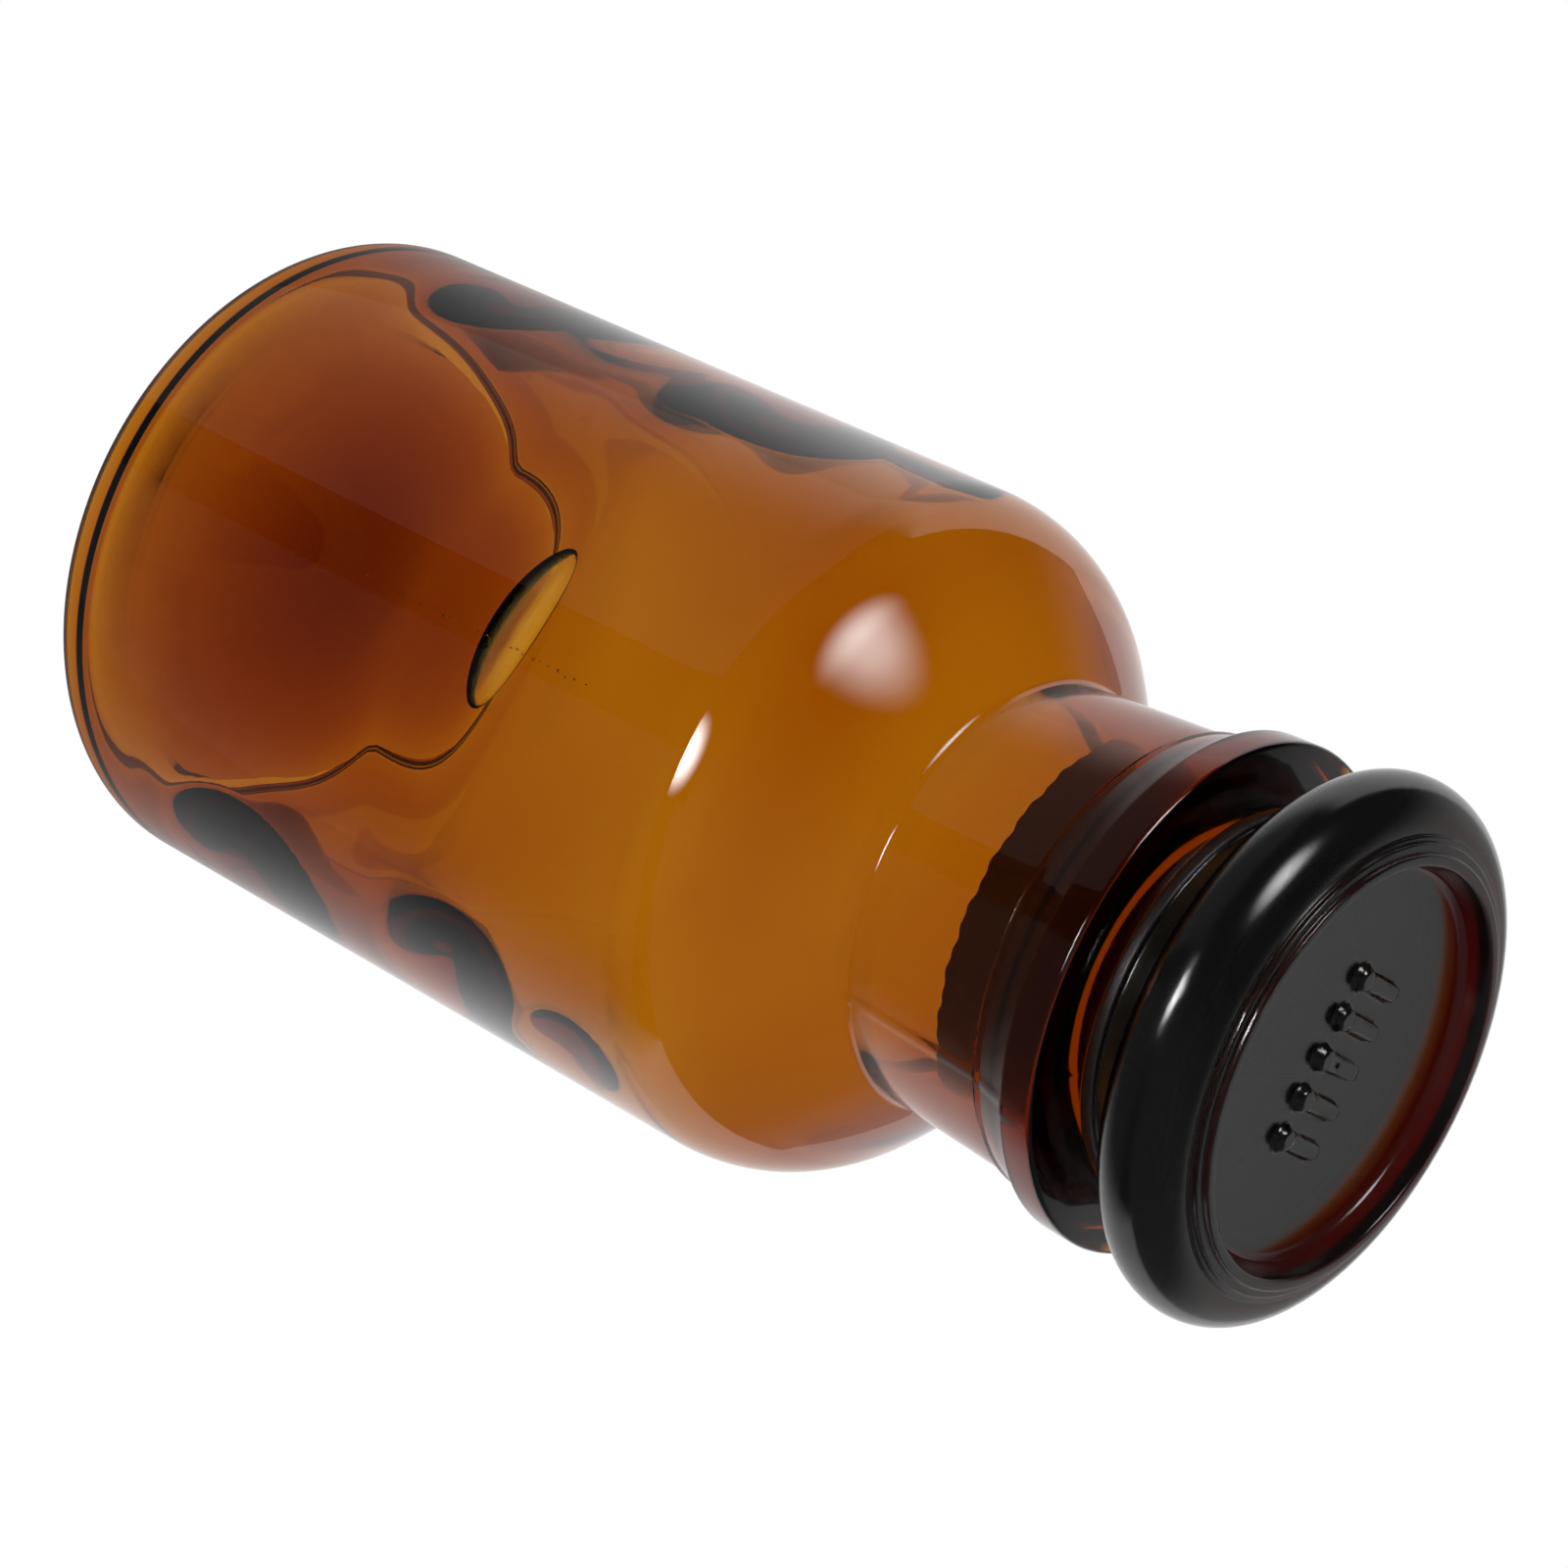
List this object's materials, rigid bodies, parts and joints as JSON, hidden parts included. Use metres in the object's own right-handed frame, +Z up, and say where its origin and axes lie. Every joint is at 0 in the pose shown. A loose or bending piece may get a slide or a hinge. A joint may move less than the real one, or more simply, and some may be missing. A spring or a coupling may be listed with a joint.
{
  "type": "reagent bottle",
  "caption": "Wide-mouth amber glass reagent bottle with a rounded shoulder, a short collared neck and a ground-in solid glass stopper that lifts out.",
  "frame": {"origin": "centre of the bottom, on the surface the bottle stands on", "axes": "+Z up along the axis of the bottle and stopper; the mark in the stopper's recess runs along X, with its pips on the -Y side"},
  "size_m": [0.057, 0.057, 0.1142],
  "materials": {
    "amber_glass": "clear fire-polished amber glass, ground inside the neck",
    "stopper_glass": "thick pressed amber glass, almost black, ground on the plug"
  },
  "bodies": {
    "bottle": {"bottle": "amber_glass"},
    "stopper": {"stopper": "stopper_glass"}
  },
  "joints": [
    {"name": "stopper_lift", "type": "slide", "parent": "bottle", "child": "stopper", "axis": [0, 0, 1], "range_m": [0, 0.02]}
  ]
}
